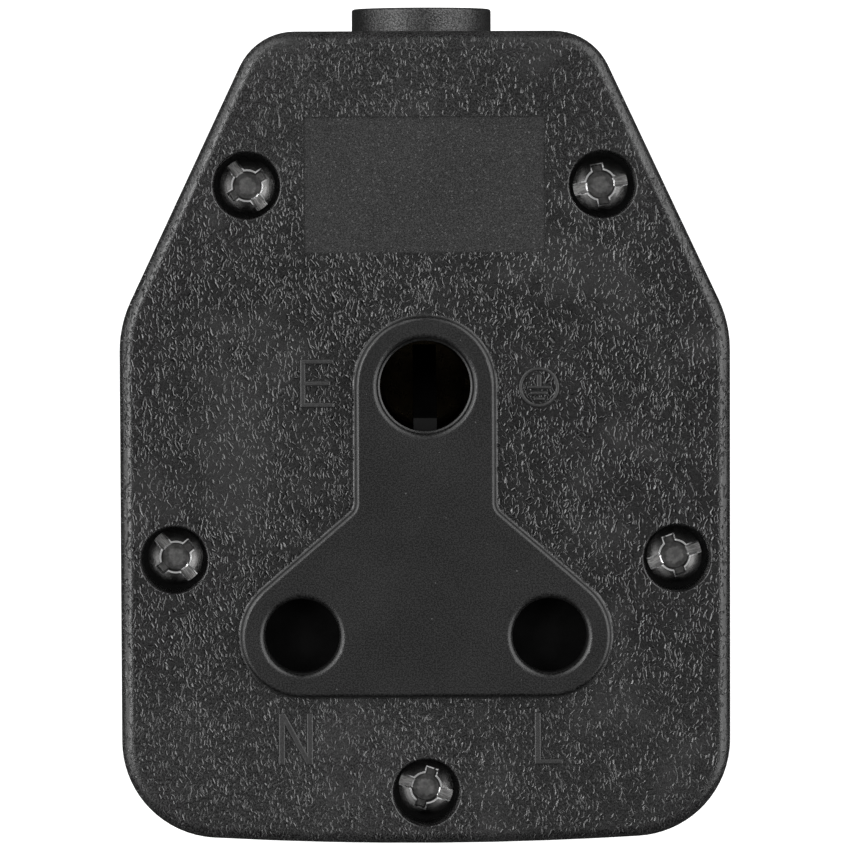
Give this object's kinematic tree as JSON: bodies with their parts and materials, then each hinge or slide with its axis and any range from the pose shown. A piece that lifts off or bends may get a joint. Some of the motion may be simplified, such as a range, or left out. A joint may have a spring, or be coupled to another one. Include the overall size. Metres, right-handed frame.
{
  "type": "double power coupler",
  "caption": "Black moulded rewireable mains coupler with round-pin sockets back to back, sprung safety shutters, recessed cover screws and a rubber cable bush at the narrow end.",
  "frame": {"origin": "middle of the bounding box in X and Y, on the plane of the rear socket platform", "axes": "+Z out of the front socket face, +Y towards the cable entry, +X to the right as the front face is looked at"},
  "size_m": [0.0636, 0.0868, 0.06],
  "materials": {
    "shell_plastic": "fine leather grain, satin on the platform",
    "bush_rubber": "smooth satin",
    "screw_steel": "zinc plated",
    "shutter_plastic": "matte",
    "inner_plastic": "matte",
    "contact_brass": "bright",
    "spring_steel": "bright"
  },
  "bodies": {
    "housing": {"front_shell": "shell_plastic", "rear_shell": "shell_plastic", "cable_bush": "bush_rubber", "cover_screws": "screw_steel", "front_plate_screws": "screw_steel", "rear_plate_screws": "screw_steel", "cord_clamp_screws": "screw_steel", "terminal_screws": "screw_steel", "clamp_washers": "screw_steel", "front_guide_plate": "inner_plastic", "rear_guide_plate": "inner_plastic", "contact_block": "inner_plastic", "cord_clamp_bar": "inner_plastic", "front_shutter_spring": "spring_steel", "rear_shutter_spring": "spring_steel", "front_pole_rings": "spring_steel", "rear_pole_rings": "spring_steel", "earth_rings": "spring_steel", "earth_clip": "spring_steel", "live_link": "contact_brass", "neutral_link": "contact_brass", "earth_link": "contact_brass", "front_live_contact": "contact_brass", "front_neutral_contact": "contact_brass", "rear_live_contact": "contact_brass", "rear_neutral_contact": "contact_brass", "earth_contact": "contact_brass"},
    "front_slide": {"front_shutter": "shutter_plastic"},
    "rear_slide": {"rear_shutter": "shutter_plastic"}
  },
  "joints": [
    {"name": "front_shutter_slide", "type": "slide", "parent": "housing", "child": "front_slide", "axis": [0, -1, 0], "range_m": [0, 0.0085], "stiffness_N_per_m": 120, "springref_m": -0.004, "deforming": ["front_shutter_spring"]},
    {"name": "rear_shutter_slide", "type": "slide", "parent": "housing", "child": "rear_slide", "axis": [0, -1, 0], "range_m": [0, 0.0085], "stiffness_N_per_m": 120, "springref_m": -0.004, "deforming": ["rear_shutter_spring"]}
  ]
}
